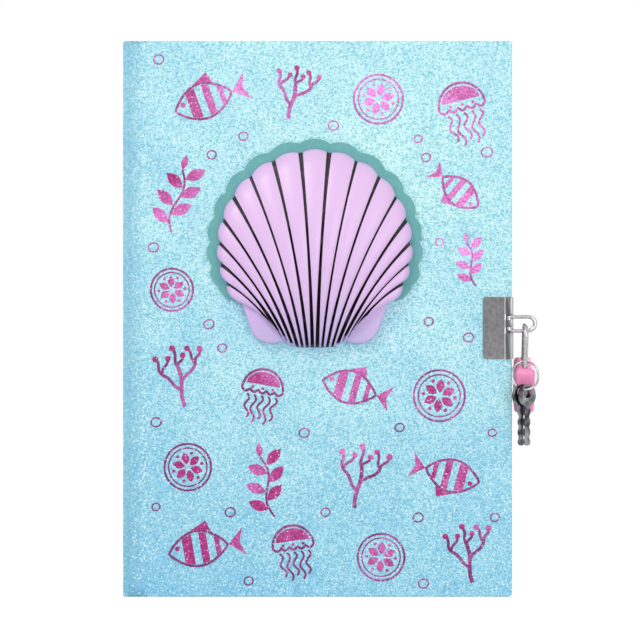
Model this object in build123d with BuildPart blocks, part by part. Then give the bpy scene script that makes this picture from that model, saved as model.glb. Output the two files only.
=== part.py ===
"""A hardback diary that stands on its foot, with a moulded shell on the front cover, two crimped
fore-edge clips with hinged wire loops, and a small padlock with two keys on a ring.

Millimetres. +Z is up along the spine, +X runs from the spine to the fore edge and the front cover
faces -Y. A depth here is a distance towards the front, so y = -depth. The origin is the middle of
the back board's foot, where the diary stands.
"""

import os
from math import cos, radians, sin, sqrt

from build123d import *

os.makedirs("parts", exist_ok=True)

# Case and pages
CASE_WIDTH = 147.0
CASE_HEIGHT = 210.0
BOARD = 2.4
SHEET = 0.4
PASTEDOWN = 0.3
CORNER_RADIUS = 1.5
SPINE_EDGE_RADIUS = 0.24
JOINT_WIDTH = 6.5
JOINT_DIP = 0.9
JOINT_SLOPE = 1.2
SQUARE = 3.0
SIGNATURES = 8
SIGNATURE = 2.0
LEAF = 0.25
LEAF_GAP = 0.15
LEAF_GUTTER = 6.9
HOLLOW = 0.3
LINING = 0.5
LINING_INSET = 12.0
BAND = 1.6
BAND_LIFT = 0.4
EDGE_CLEARANCE = 0.1

# Shell ornament
SHELL_CENTRE_X = -1.0
SHELL_FOOT_Z = 94.0
SHELL_RADIUS = 35.8
SHELL_RISE = 38.2
SHELL_RIBS = 17
RIB_SPREAD = 147.0
RIB_CROWDING = 29.0
EDGE_FLARE = 7.0
EDGE_FLARE_POWER = 9
SCALLOP = 1.5
SHELL_RIM = 3.0
SHELL_CROWN = 8.5
GROOVE_WIDTH = 1.7
GROOVE_FOOT_WIDTH = 0.9
GROOVE_DEPTH = 1.6
FAN_FOOT_HALF = 8.5
EAR_OUT = 26.5
EAR_TOP = 15.5
EAR_FOOT = 3.0
EAR_THICKNESS = 3.4
CARD = 1.2
CARD_BORDER = 3.5
CARD_FOOT_HALF = 22.0
CARD_FOOT_Z = 115.5

# Fore-edge clips and wire loops
CLIP_FOOT_Z = 89.9
CLIP_HEIGHT = 23.4
CLIP_SHEET = 0.5
CLIP_LEG = 11.0
CLIP_LIP = 2.6
CLIP_CORNER = 1.2
BARREL = 2.6
LOOP_WIRE = 1.6
LOOP_FIT = 0.08
LOOP_LOW_Z = 100.6
LOOP_SPACING = 5.3
LOOP_REACH = 8.6
LOOP_CORNER = 1.0
KNUCKLE_GAP = 0.3

# Padlock
LOCK_OUT = 4.9
LOCK_LEAN = 24.0
SHACKLE_WIRE = 2.0
SHACKLE_SPACING = 8.0
SHACKLE_REST_GAP = 0.06
LOCK_TOP_Z = 87.2
LOCK_THICKNESS = 7.6
LOCK_WIDTH = 14.0
LOCK_HEIGHT = 18.0
LOCK_FILLET = 2.0
JACKET_WALL = 1.0
CASE_FILLET = 1.0
JACKET_FIT = 0.05
LEG_CLEARANCE = 0.1
HEEL_DEPTH = 11.5
TOE_DEPTH = 4.6
BORE_END_GAP = 0.4
RELEASE_TRAVEL = 5.0
CATCH_RATIO = 0.3
CATCH_TOP = 1.3
CATCH_HEIGHT = 1.2
CATCH_WIDTH = 1.6
CATCH_LENGTH = 4.6
CATCH_BITE = 0.9
CATCH_GAP = 0.1
PLUG_RADIUS = 2.4
PLUG_LENGTH = 6.0
PLUG_OFFSET = 1.0
PLUG_FIT = 0.08
KEYWAY_WIDTH = 1.3
KEYWAY_LENGTH = 3.4
KEYWAY_DEPTH = 5.0

# Keys and their ring
RING_RADIUS = 4.75
RING_STRAIGHT = 2.2
RING_WIRE = 0.9
RING_TILT = 50.0
RING_GAP = 0.1
KEY_SHEET = 0.8
KEY_BOW = 8.6
KEY_HOLE = 4.4
KEY_HOLE_MARGIN = 0.9
KEY_DROP = 1.1
KEY_YAW = 40.0
KEY_PITCH = 2.2
KEY_OFFSET = -0.7
KEY_BLADE = 15.5
KEY_BLADE_WIDTH = 2.9
KEY_NOTCH = 1.5
KEY_NOTCH_BITE = 0.55
KEY_NOTCHES = 3
KEY_FIRST_NOTCH = 1.2

# Places that follow from the sizes
fore_x = CASE_WIDTH / 2
spine_x = -CASE_WIDTH / 2
spine_inside_x = spine_x + SHEET + BOARD
board_left_x = spine_inside_x + JOINT_WIDTH
block_left_x = spine_inside_x + HOLLOW + LINING
block_right_x = fore_x - SQUARE
block_foot_z = SQUARE
block_height = CASE_HEIGHT - 2 * SQUARE

back_out = -BOARD / 2 - SHEET
block_back = BOARD / 2 + PASTEDOWN
block_front = block_back + SIGNATURES * SIGNATURE
front_inside = block_front + LEAF + 2 * LEAF_GAP
front_board_back = front_inside + PASTEDOWN
front_face = front_board_back + BOARD
front_out = front_face + SHEET

barrel_x = fore_x - BARREL / 2
front_loop_depth = front_out + CLIP_SHEET + BARREL / 2
back_loop_depth = back_out - CLIP_SHEET - BARREL / 2
loop_mid_z = LOOP_LOW_Z + LOOP_SPACING / 2

lock_x = fore_x + LOCK_OUT
lock_depth = front_loop_depth
heel_depth = lock_depth + SHACKLE_SPACING / 2
toe_depth = lock_depth - SHACKLE_SPACING / 2
bow_inside_z = LOOP_LOW_Z + LOOP_WIRE / 2 + SHACKLE_REST_GAP
bow_centre_z = bow_inside_z + SHACKLE_WIRE / 2 - SHACKLE_SPACING / 2
lock_foot_z = LOCK_TOP_Z - LOCK_HEIGHT
case_top_z = LOCK_TOP_Z - JACKET_WALL
case_foot_z = lock_foot_z + JACKET_WALL


hang_axis = Axis((lock_x, -lock_depth, LOOP_LOW_Z), (1, 0, 0))


def save(piece, name, lean=0.0):
    """Labels a finished piece and writes its STEP file. What hangs with the padlock leans about the
    loop's lower leg first."""
    solid = piece.part if lean == 0 else piece.part.rotate(hang_axis, lean)
    solid.label = name
    export_step(solid, f"parts/{name}.step")


def save_panel(name, left, right, foot, top, depth, thickness, corner=0.0):
    """A flat panel that faces the front, its fore-edge corners rounded where corner is given."""
    with BuildPart() as panel:
        with BuildSketch(Plane.XZ.offset(depth)) as outline:
            with Locations(((left + right) / 2, (foot + top) / 2)):
                Rectangle(right - left, top - foot)
            if corner > 0:
                fillet(outline.vertices().group_by(Axis.X)[-1], corner)
        extrude(amount=thickness)
    save(panel, name)


# Boards, sheets and pastedowns
save_panel("back_sheet", board_left_x, fore_x, 0, CASE_HEIGHT, back_out, SHEET, CORNER_RADIUS)
save_panel("back_board", board_left_x, fore_x, 0, CASE_HEIGHT, -BOARD / 2, BOARD, CORNER_RADIUS)
save_panel("back_pastedown", board_left_x, block_right_x, block_foot_z, block_foot_z + block_height,
           BOARD / 2, PASTEDOWN)
save_panel("front_pastedown", board_left_x, block_right_x, block_foot_z, block_foot_z + block_height,
           front_inside, PASTEDOWN)
save_panel("front_board", board_left_x, fore_x, 0, CASE_HEIGHT, front_board_back, BOARD, CORNER_RADIUS)
save_panel("front_sheet", board_left_x, fore_x, 0, CASE_HEIGHT, front_face, SHEET, CORNER_RADIUS)

# Spine board, and the sheet on its outside
with BuildPart() as spine_board:
    with BuildSketch():
        with Locations((spine_x + SHEET + BOARD / 2, -(back_out + front_out) / 2)):
            Rectangle(BOARD, front_out - back_out - 2 * SHEET)
    extrude(amount=CASE_HEIGHT)
save(spine_board, "spine_board")

with BuildPart() as spine_sheet:
    with BuildSketch() as spine_outline:
        with Locations((spine_x + SHEET / 2, -(back_out + front_out) / 2)):
            Rectangle(SHEET, front_out - back_out)
        fillet(spine_outline.vertices().group_by(Axis.X)[0], SPINE_EDGE_RADIUS)
    extrude(amount=CASE_HEIGHT)
save(spine_sheet, "spine_sheet")


def save_joint(name, outside, inward):
    """The sheet across a cover joint: flat on the spine board's edge, then dipped into the groove.
    inward is +1 where depth grows towards the pages and -1 where it falls."""
    left = spine_x + SHEET
    right = board_left_x - EDGE_CLEARANCE
    level = [(left, 0), (spine_inside_x, 0), (spine_inside_x + JOINT_SLOPE, JOINT_DIP),
             (right - JOINT_SLOPE, JOINT_DIP), (right, 0)]
    outer = [(x, -(outside + inward * dip)) for x, dip in level]
    inner = [(x, -(outside + inward * (dip + SHEET))) for x, dip in reversed(level)]
    with BuildPart() as joint:
        with BuildSketch():
            with BuildLine():
                Polyline(*outer, *inner, close=True)
            make_face()
        extrude(amount=CASE_HEIGHT)
    save(joint, name)


save_joint("front_joint", front_out, -1)
save_joint("back_joint", back_out, 1)

# Pages: sewn signatures, their spine lining and end bands, and the loose first leaf
for number in range(SIGNATURES):
    save_panel(f"signature_{number + 1}", block_left_x, block_right_x, block_foot_z,
               block_foot_z + block_height, block_back + number * SIGNATURE, SIGNATURE)

leaf_left_x = block_left_x + LEAF_GUTTER
save_panel("first_leaf", leaf_left_x, block_right_x, block_foot_z, block_foot_z + block_height,
           block_front + LEAF_GAP, LEAF)

with BuildPart() as spine_lining:
    with BuildSketch(Plane.XY.offset(block_foot_z + LINING_INSET)):
        with Locations((block_left_x - LINING / 2, -(block_back + block_front) / 2)):
            Rectangle(LINING, block_front - block_back)
    extrude(amount=block_height - 2 * LINING_INSET)
save(spine_lining, "spine_lining")


def save_band(name, level):
    """A rolled end band across the block's spine corner, flat where it sits on the pages."""
    with BuildPart() as band:
        with BuildSketch(Plane.XZ.offset(block_back)):
            with Locations((block_left_x + BAND / 2, level)):
                Circle(BAND / 2)
                Rectangle(BAND, BAND, mode=Mode.INTERSECT)
            with Locations((block_left_x + BAND / 2, CASE_HEIGHT / 2)):
                Rectangle(BAND, block_height, mode=Mode.SUBTRACT)
        extrude(amount=block_front - block_back)
    save(band, name)


save_band("head_band", block_foot_z + block_height + BAND_LIFT)
save_band("tail_band", block_foot_z - BAND_LIFT)


# Shell ornament and the card behind it
shell_centre_z = SHELL_FOOT_Z + SHELL_RISE


def rib_turn(share):
    """A groove's angle from the top. Ribs narrow towards the sides of the fan, and the last one flares."""
    return radians(RIB_SPREAD * share - RIB_CROWDING * share**3 + EDGE_FLARE * share**EDGE_FLARE_POWER)


def rim_points(radius):
    """Where the grooves between ribs meet the rim, from the left ear round to the right one."""
    turns = [rib_turn(2 * number / SHELL_RIBS - 1) for number in range(SHELL_RIBS + 1)]
    return [(SHELL_CENTRE_X + radius * sin(turn), shell_centre_z + radius * cos(turn)) for turn in turns]


def from_centre(point):
    """A point's distance from the fan's centre."""
    return sqrt((point[0] - SHELL_CENTRE_X) ** 2 + (point[1] - shell_centre_z) ** 2)


def fan_outline(radius, foot_half, foot_z):
    """Scalloped fan: one arc to a rib along the rim, closed by two straight sides to its foot. Its corners
    stay on the shell's own rim, so a wider fan tapers in to them."""
    corners = rim_points(SHELL_RADIUS)
    points = [corners[0], *rim_points(radius)[1:-1], corners[-1]]
    for start, end in zip(points, points[1:]):
        middle = ((start[0] + end[0]) / 2, (start[1] + end[1]) / 2)
        crest_reach = (from_centre(start) + from_centre(end)) / 2 + SCALLOP
        swell = crest_reach / from_centre(middle)
        crest = (SHELL_CENTRE_X + (middle[0] - SHELL_CENTRE_X) * swell,
                 shell_centre_z + (middle[1] - shell_centre_z) * swell)
        ThreePointArc(start, crest, end)
    left_foot = (SHELL_CENTRE_X - foot_half, foot_z)
    right_foot = (SHELL_CENTRE_X + foot_half, foot_z)
    Polyline(points[-1], right_foot, left_foot, points[0])


with BuildPart() as shell_card:
    with BuildSketch(Plane.XZ.offset(front_out)):
        with BuildLine():
            fan_outline(SHELL_RADIUS + CARD_BORDER, CARD_FOOT_HALF, CARD_FOOT_Z)
        make_face()
    extrude(amount=CARD)
save(shell_card, "shell_card")

shell_back = front_out + CARD
dome_radius = ((SHELL_RADIUS + SCALLOP) ** 2 + SHELL_CROWN**2) / (2 * SHELL_CROWN)
dome_depth = shell_back + SHELL_RIM + SHELL_CROWN - dome_radius
dome_place = (SHELL_CENTRE_X, -dome_depth, shell_centre_z)

with BuildPart() as grooves:
    with BuildSketch(Plane.XZ.offset(shell_back)):
        for rim_x, rim_z in rim_points(SHELL_RADIUS + SCALLOP)[1:-1]:
            across = rim_x - SHELL_CENTRE_X
            foot_x = SHELL_CENTRE_X + FAN_FOOT_HALF * across / (SHELL_RADIUS + SCALLOP)
            run = sqrt((rim_x - foot_x) ** 2 + (rim_z - SHELL_FOOT_Z) ** 2)
            side_x = (rim_z - SHELL_FOOT_Z) / run
            side_z = -(rim_x - foot_x) / run
            foot_side = (side_x * GROOVE_FOOT_WIDTH / 2, side_z * GROOVE_FOOT_WIDTH / 2)
            rim_side = (side_x * GROOVE_WIDTH / 2, side_z * GROOVE_WIDTH / 2)
            with BuildLine():
                Polyline(
                    (foot_x - foot_side[0], SHELL_FOOT_Z - foot_side[1]),
                    (foot_x + foot_side[0], SHELL_FOOT_Z + foot_side[1]),
                    (rim_x + rim_side[0], rim_z + rim_side[1]),
                    (rim_x - rim_side[0], rim_z - rim_side[1]),
                    close=True,
                )
            make_face()
    extrude(amount=SHELL_RIM + SHELL_CROWN)
    with Locations(dome_place):
        Sphere(dome_radius - GROOVE_DEPTH, mode=Mode.SUBTRACT)

with BuildPart() as shell:
    with BuildSketch(Plane.XZ.offset(shell_back)):
        with BuildLine():
            fan_outline(SHELL_RADIUS, FAN_FOOT_HALF, SHELL_FOOT_Z)
        make_face()
    extrude(amount=SHELL_RIM + SHELL_CROWN)
    with Locations(dome_place):
        Sphere(dome_radius, mode=Mode.INTERSECT)
    add(grooves.part, mode=Mode.SUBTRACT)
    with BuildSketch(Plane.XZ.offset(front_out)):
        with BuildLine():
            Polyline(
                (SHELL_CENTRE_X - FAN_FOOT_HALF, SHELL_FOOT_Z),
                (SHELL_CENTRE_X - EAR_OUT + EAR_FOOT, SHELL_FOOT_Z + EAR_FOOT),
                (SHELL_CENTRE_X - EAR_OUT, SHELL_FOOT_Z + EAR_TOP),
                (SHELL_CENTRE_X + EAR_OUT, SHELL_FOOT_Z + EAR_TOP),
                (SHELL_CENTRE_X + EAR_OUT - EAR_FOOT, SHELL_FOOT_Z + EAR_FOOT),
                (SHELL_CENTRE_X + FAN_FOOT_HALF, SHELL_FOOT_Z),
                close=True,
            )
        make_face()
    extrude(amount=CARD + EAR_THICKNESS)
save(shell, "shell")


# Fore-edge clips and their wire loops
knuckle_low = LOOP_LOW_Z + LOOP_CORNER + KNUCKLE_GAP
knuckle_high = LOOP_LOW_Z + LOOP_SPACING - LOOP_CORNER - KNUCKLE_GAP
window_low = LOOP_LOW_Z - LOOP_WIRE / 2 - KNUCKLE_GAP
window_high = LOOP_LOW_Z + LOOP_SPACING + LOOP_WIRE / 2 + KNUCKLE_GAP


def save_clip(name, inside, outside, axis_depth):
    """Sheet bent round a cover's fore edge, with a barrel rolled along its outer face. The barrel is
    cut through where the legs of the wire loop swing."""
    outward = 1 if outside > inside else -1
    leg_face = outside + outward * CLIP_SHEET
    lip_face = inside - outward * CLIP_SHEET
    with BuildPart() as clip:
        with BuildSketch(Plane.XY.offset(CLIP_FOOT_Z)):
            with BuildLine():
                Polyline(
                    (fore_x - CLIP_LEG, -outside), (fore_x, -outside), (fore_x, -inside),
                    (fore_x - CLIP_LIP, -inside), (fore_x - CLIP_LIP, -lip_face),
                    (fore_x + CLIP_SHEET, -lip_face), (fore_x + CLIP_SHEET, -leg_face),
                    (fore_x - CLIP_LEG, -leg_face), close=True,
                )
            make_face()
        extrude(amount=CLIP_HEIGHT)
        fillet(clip.edges().filter_by(Axis.Y).group_by(Axis.X)[0], CLIP_CORNER)
        with BuildSketch(Plane.XY.offset(CLIP_FOOT_Z)):
            with Locations((barrel_x, -axis_depth)):
                Circle(BARREL / 2)
            with Locations((barrel_x, -(axis_depth + leg_face) / 2)):
                Rectangle(BARREL, BARREL / 2)
        extrude(amount=CLIP_HEIGHT)
        with BuildSketch(Plane.XY.offset(window_low)):
            with Locations((barrel_x, -axis_depth)):
                Rectangle(BARREL, BARREL)
        extrude(amount=knuckle_low - window_low, mode=Mode.SUBTRACT)
        with BuildSketch(Plane.XY.offset(knuckle_high)):
            with Locations((barrel_x, -axis_depth)):
                Rectangle(BARREL, BARREL)
        extrude(amount=window_high - knuckle_high, mode=Mode.SUBTRACT)
        with BuildSketch(Plane.XY.offset(CLIP_FOOT_Z)):
            with Locations((barrel_x, -axis_depth)):
                Circle(LOOP_WIRE / 2 + LOOP_FIT)
        extrude(amount=CLIP_HEIGHT, mode=Mode.SUBTRACT)
    save(clip, name)


def save_loop(name, axis_depth, outward):
    """Closed wire loop: its straight side is the pin in the barrel, its far end a half circle.
    outward is +1 where it points past the fore edge and -1 where it is folded back."""
    far_x = barrel_x + outward * (fore_x + LOOP_REACH - LOOP_SPACING / 2 - barrel_x)
    with BuildPart() as loop:
        with BuildLine(Plane.XZ.offset(axis_depth)) as path:
            corner = (barrel_x, LOOP_LOW_Z)
            FilletPolyline((barrel_x, loop_mid_z), corner, (far_x, LOOP_LOW_Z), radius=LOOP_CORNER)
            reach = LOOP_SPACING / 2
            part_way = reach / sqrt(2)
            ThreePointArc(
                (far_x, LOOP_LOW_Z),
                (far_x + outward * part_way, loop_mid_z - part_way),
                (far_x + outward * reach, loop_mid_z),
            )
        with BuildSketch(Plane(origin=(barrel_x, -axis_depth, loop_mid_z))):
            Circle(LOOP_WIRE / 2)
        sweep(path=path.wires()[0])
        mirror(about=Plane.XY.offset(loop_mid_z))
    save(loop, name)


save_clip("front_clip", front_board_back, front_out, front_loop_depth)
save_clip("back_clip", BOARD / 2, back_out, back_loop_depth)
save_loop("front_loop", front_loop_depth, 1)
save_loop("back_loop", back_loop_depth, -1)


# Padlock
def leg_sketch_place(depth):
    """The centre of a shackle leg, seen from above."""
    return (lock_x, -depth)


heel_foot_z = LOCK_TOP_Z - HEEL_DEPTH
toe_foot_z = LOCK_TOP_Z - TOE_DEPTH
catch_top_z = case_top_z - CATCH_TOP
catch_foot_z = catch_top_z - CATCH_HEIGHT
toe_inner_depth = toe_depth + SHACKLE_WIRE / 2

with BuildPart() as shackle:
    with BuildLine(Plane.YZ.offset(lock_x)) as bend:
        Line((-heel_depth, heel_foot_z), (-heel_depth, bow_centre_z))
        ThreePointArc(
            (-heel_depth, bow_centre_z),
            (-lock_depth, bow_centre_z + SHACKLE_SPACING / 2),
            (-toe_depth, bow_centre_z),
        )
        Line((-toe_depth, bow_centre_z), (-toe_depth, toe_foot_z))
    with BuildSketch(Plane.XY.offset(heel_foot_z)):
        with Locations(leg_sketch_place(heel_depth)):
            Circle(SHACKLE_WIRE / 2)
    sweep(path=bend.wires()[0])
    notch_floor = toe_inner_depth - CATCH_BITE - CATCH_GAP
    ramp_end = notch_floor + CATCH_RATIO * (catch_foot_z - CATCH_GAP - toe_foot_z)
    with BuildSketch(Plane.YZ.offset(lock_x - SHACKLE_WIRE / 2)):
        with BuildLine():
            Polyline(
                (-toe_inner_depth, catch_top_z + CATCH_GAP), (-notch_floor, catch_top_z + CATCH_GAP),
                (-notch_floor, catch_foot_z - CATCH_GAP), (-ramp_end, toe_foot_z),
                (-toe_inner_depth, toe_foot_z), close=True,
            )
        make_face()
    extrude(amount=SHACKLE_WIRE, mode=Mode.SUBTRACT)
save(shackle, "shackle", LOCK_LEAN)

lock_centre = (lock_x, -lock_depth)
case_thickness = LOCK_THICKNESS - 2 * JACKET_WALL
case_width = LOCK_WIDTH - 2 * JACKET_WALL
leg_bore = SHACKLE_WIRE / 2 + LEG_CLEARANCE
plug_place = (lock_x, -lock_depth + PLUG_OFFSET)

with BuildPart() as padlock_jacket:
    with BuildSketch(Plane.XY.offset(lock_foot_z)):
        with Locations(lock_centre):
            RectangleRounded(LOCK_THICKNESS, LOCK_WIDTH, LOCK_FILLET)
    extrude(amount=LOCK_HEIGHT)
    fillet(padlock_jacket.faces().sort_by(Axis.Z)[-1].edges(), LOCK_FILLET - JACKET_FIT)
    fillet(padlock_jacket.faces().sort_by(Axis.Z)[0].edges(), JACKET_WALL)
    with BuildSketch(Plane.XY.offset(case_foot_z)):
        with Locations(lock_centre):
            RectangleRounded(case_thickness + 2 * JACKET_FIT, case_width + 2 * JACKET_FIT,
                             CASE_FILLET + JACKET_FIT)
    extrude(amount=case_top_z - case_foot_z, mode=Mode.SUBTRACT)
    with BuildSketch(Plane.XY.offset(case_top_z)):
        with Locations(leg_sketch_place(heel_depth), leg_sketch_place(toe_depth)):
            Circle(leg_bore)
    extrude(amount=JACKET_WALL, mode=Mode.SUBTRACT)
    with BuildSketch(Plane.XY.offset(lock_foot_z)):
        with Locations(plug_place):
            Circle(PLUG_RADIUS + PLUG_FIT)
    extrude(amount=JACKET_WALL, mode=Mode.SUBTRACT)
save(padlock_jacket, "padlock_jacket", LOCK_LEAN)

catch_travel = CATCH_RATIO * RELEASE_TRAVEL
catch_nose_depth = toe_inner_depth - CATCH_BITE
chamber_front_depth = catch_nose_depth + CATCH_LENGTH + catch_travel + CATCH_GAP

with BuildPart() as padlock_case:
    with BuildSketch(Plane.XY.offset(case_foot_z)):
        with Locations(lock_centre):
            RectangleRounded(case_thickness, case_width, CASE_FILLET)
    extrude(amount=case_top_z - case_foot_z)
    with BuildSketch(Plane.XY.offset(heel_foot_z - BORE_END_GAP)):
        with Locations(leg_sketch_place(heel_depth)):
            Circle(leg_bore)
    extrude(amount=case_top_z - heel_foot_z + BORE_END_GAP, mode=Mode.SUBTRACT)
    with BuildSketch(Plane.XY.offset(toe_foot_z - BORE_END_GAP)):
        with Locations(leg_sketch_place(toe_depth)):
            Circle(leg_bore)
    extrude(amount=case_top_z - toe_foot_z + BORE_END_GAP, mode=Mode.SUBTRACT)
    with BuildSketch(Plane.XY.offset(catch_foot_z)):
        with Locations((lock_x, -(toe_depth + chamber_front_depth) / 2)):
            Rectangle(CATCH_WIDTH + 2 * CATCH_GAP, chamber_front_depth - toe_depth)
    extrude(amount=CATCH_HEIGHT + CATCH_GAP, mode=Mode.SUBTRACT)
    with BuildSketch(Plane.XY.offset(case_foot_z)):
        with Locations(plug_place):
            Circle(PLUG_RADIUS + PLUG_FIT)
    extrude(amount=PLUG_LENGTH - JACKET_WALL, mode=Mode.SUBTRACT)
save(padlock_case, "padlock_case", LOCK_LEAN)

with BuildPart() as spring_catch:
    with BuildSketch(Plane.XY.offset(catch_foot_z)):
        with Locations((lock_x, -(catch_nose_depth + CATCH_LENGTH / 2))):
            Rectangle(CATCH_WIDTH, CATCH_LENGTH)
    extrude(amount=CATCH_HEIGHT)
save(spring_catch, "spring_catch", LOCK_LEAN)

with BuildPart() as key_plug:
    with BuildSketch(Plane.XY.offset(lock_foot_z)):
        with Locations(plug_place):
            Circle(PLUG_RADIUS)
    extrude(amount=PLUG_LENGTH)
    with BuildSketch(Plane.XY.offset(lock_foot_z)):
        with Locations(plug_place):
            Rectangle(KEYWAY_WIDTH, KEYWAY_LENGTH)
    extrude(amount=KEYWAY_DEPTH, mode=Mode.SUBTRACT)
save(key_plug, "key_plug", LOCK_LEAN)

# Key ring: it goes behind the heel leg, straddles the padlock and slants out in front of it
ring_inside_half = LOCK_THICKNESS / 2 + RING_WIRE / 2 + RING_GAP
ring_shoulder = RING_RADIUS - sqrt(RING_RADIUS**2 - ring_inside_half**2)
ring_top_depth = heel_depth - SHACKLE_WIRE / 2 - RING_WIRE / 2 - RING_GAP
ring_top_z = LOCK_TOP_Z + ring_shoulder * cos(radians(RING_TILT))
ring_reach = RING_RADIUS + RING_STRAIGHT / 2
ring_centre_depth = ring_top_depth + ring_reach * sin(radians(RING_TILT))
ring_centre_z = ring_top_z - ring_reach * cos(radians(RING_TILT))
ring_foot_depth = ring_top_depth + 2 * ring_reach * sin(radians(RING_TILT))
ring_foot_z = ring_top_z - 2 * ring_reach * cos(radians(RING_TILT))
ring_plane = Plane(
    origin=(lock_x, -ring_centre_depth, ring_centre_z),
    x_dir=(1, 0, 0),
    z_dir=(0, -cos(radians(RING_TILT)), sin(radians(RING_TILT))),
)

with BuildPart() as key_ring:
    with BuildLine(ring_plane) as half_ring:
        half_straight = RING_STRAIGHT / 2
        diagonal = RING_RADIUS / sqrt(2)
        ThreePointArc((0, ring_reach), (diagonal, half_straight + diagonal), (RING_RADIUS, half_straight))
        Line((RING_RADIUS, half_straight), (RING_RADIUS, -half_straight))
        ThreePointArc((RING_RADIUS, -half_straight), (diagonal, -half_straight - diagonal), (0, -ring_reach))
    with BuildSketch(Plane(origin=(lock_x, -ring_top_depth, ring_top_z), z_dir=(1, 0, 0))):
        Circle(RING_WIRE / 2)
    sweep(path=half_ring.wires()[0])
    mirror(about=Plane.YZ.offset(lock_x))
save(key_ring, "key_ring", LOCK_LEAN)

# Keys: flat blanks that hang straight down from the leaned ring's foot, turned part way to face the front
foot_y = lock_depth - ring_foot_depth
foot_z = ring_foot_z - LOOP_LOW_Z
key_y = -lock_depth + foot_y * cos(radians(LOCK_LEAN)) - foot_z * sin(radians(LOCK_LEAN))
key_z = LOOP_LOW_Z + foot_y * sin(radians(LOCK_LEAN)) + foot_z * cos(radians(LOCK_LEAN))
bow_drop = KEY_DROP + KEY_BOW / 2 - KEY_HOLE_MARGIN - KEY_HOLE / 2
blade_top = -bow_drop - KEY_BOW / 2 + KEY_HOLE_MARGIN
notch_pitch = KEY_BLADE / (KEY_NOTCHES + 1)
notch_out = KEY_BLADE_WIDTH / 2 + KEY_NOTCH - KEY_NOTCH_BITE


def save_key(name, across):
    """A stamped key. across is its place along the ring's wire from the middle of the ring's foot."""
    key_plane = Plane(
        origin=(lock_x + across, key_y, key_z),
        x_dir=(cos(radians(KEY_YAW)), sin(radians(KEY_YAW)), 0),
        z_dir=(sin(radians(KEY_YAW)), -cos(radians(KEY_YAW)), 0),
    )
    with BuildPart() as key:
        with BuildSketch(key_plane):
            with Locations((0, -bow_drop)):
                Circle(KEY_BOW / 2)
            with Locations((0, blade_top - KEY_BLADE / 2)):
                SlotCenterToCenter(KEY_BLADE - KEY_BLADE_WIDTH, KEY_BLADE_WIDTH, rotation=90)
            with Locations((0, -KEY_DROP)):
                Circle(KEY_HOLE / 2, mode=Mode.SUBTRACT)
            for number in range(KEY_NOTCHES):
                level = blade_top - (KEY_FIRST_NOTCH + number) * notch_pitch
                with Locations((notch_out, level), (-notch_out, level)):
                    Circle(KEY_NOTCH, mode=Mode.SUBTRACT)
        extrude(amount=KEY_SHEET / 2, both=True)
    save(key, name)


save_key("key_1", KEY_OFFSET - KEY_PITCH / 2)
save_key("key_2", KEY_OFFSET + KEY_PITCH / 2)
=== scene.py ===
import math
import random

import bmesh
import bpy
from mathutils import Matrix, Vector


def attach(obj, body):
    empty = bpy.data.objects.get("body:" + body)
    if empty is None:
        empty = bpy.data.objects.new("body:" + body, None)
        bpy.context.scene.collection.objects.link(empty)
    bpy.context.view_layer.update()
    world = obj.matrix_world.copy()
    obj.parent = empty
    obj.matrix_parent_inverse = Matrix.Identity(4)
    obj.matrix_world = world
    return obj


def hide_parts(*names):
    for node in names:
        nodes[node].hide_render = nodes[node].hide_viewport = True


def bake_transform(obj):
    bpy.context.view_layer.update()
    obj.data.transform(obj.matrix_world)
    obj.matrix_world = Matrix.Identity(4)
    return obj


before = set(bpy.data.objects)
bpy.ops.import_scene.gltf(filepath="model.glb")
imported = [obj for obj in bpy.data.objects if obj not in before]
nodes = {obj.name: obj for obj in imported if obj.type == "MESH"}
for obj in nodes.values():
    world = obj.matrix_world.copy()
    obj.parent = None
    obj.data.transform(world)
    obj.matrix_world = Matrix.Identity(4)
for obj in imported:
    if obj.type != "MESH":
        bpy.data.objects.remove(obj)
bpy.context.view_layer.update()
scene = bpy.context.scene
MM = 0.001
TINY = 0.000001
FRAME_DIGITS = 2


def span(name):
    """The low and high corners of a CAD node in the row frame, in millimetres."""
    axes = list(zip(*nodes[name].bound_box))
    low = [round(min(values) / MM, FRAME_DIGITS) for values in axes]
    high = [round(max(values) / MM, FRAME_DIGITS) for values in axes]
    return low, high


# Sizes from the frame, in millimetres. A depth is a distance towards the front from the back board's middle
board_low, board_high = span("front_board")
BOARD_LEFT_X, FORE_X, COVER_HEIGHT = board_low[0], board_high[0], board_high[2]
SPINE_X = span("spine_sheet")[0][0]
SPINE_INSIDE_X = span("spine_board")[1][0]
FRONT_INSIDE, FRONT_OUT = -board_high[1], -span("front_sheet")[0][1]
BACK_INSIDE, BACK_OUT = -span("back_board")[0][1], -span("back_sheet")[1][1]
block_low, block_high = span("signature_1")
clip_low, clip_high = span("front_clip")
shell_low, shell_high = span("shell")
SHELL_BACK = -span("shell_card")[0][1]


# Mesh helpers
def make_mesh(name, points, faces, materials, body, slot, face_materials=None, smooth=False):
    """A mesh piece in the row frame, its points in millimetres, that rides on a CAD body."""
    mesh = bpy.data.meshes.new(name)
    mesh.from_pydata([tuple(value * MM for value in point) for point in points], [], faces)
    for material in materials:
        mesh.materials.append(material)
    if face_materials is not None:
        mesh.polygons.foreach_set("material_index", face_materials)
    mesh.polygons.foreach_set("use_smooth", [smooth] * len(mesh.polygons))
    mesh.update()
    piece = bpy.data.objects.new(name, mesh)
    scene.collection.objects.link(piece)
    if body is not None:
        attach(piece, body)
    return piece


def add_bevel(piece, width, segments, angle=40.0):
    """Rounds a piece's sharp edges without changing its own vertices."""
    bevel = piece.modifiers.new("edges", "BEVEL")
    bevel.width = width * MM
    bevel.segments = segments
    bevel.limit_method = "ANGLE"
    bevel.angle_limit = math.radians(angle)
    bevel.harden_normals = True
    return bevel


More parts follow.
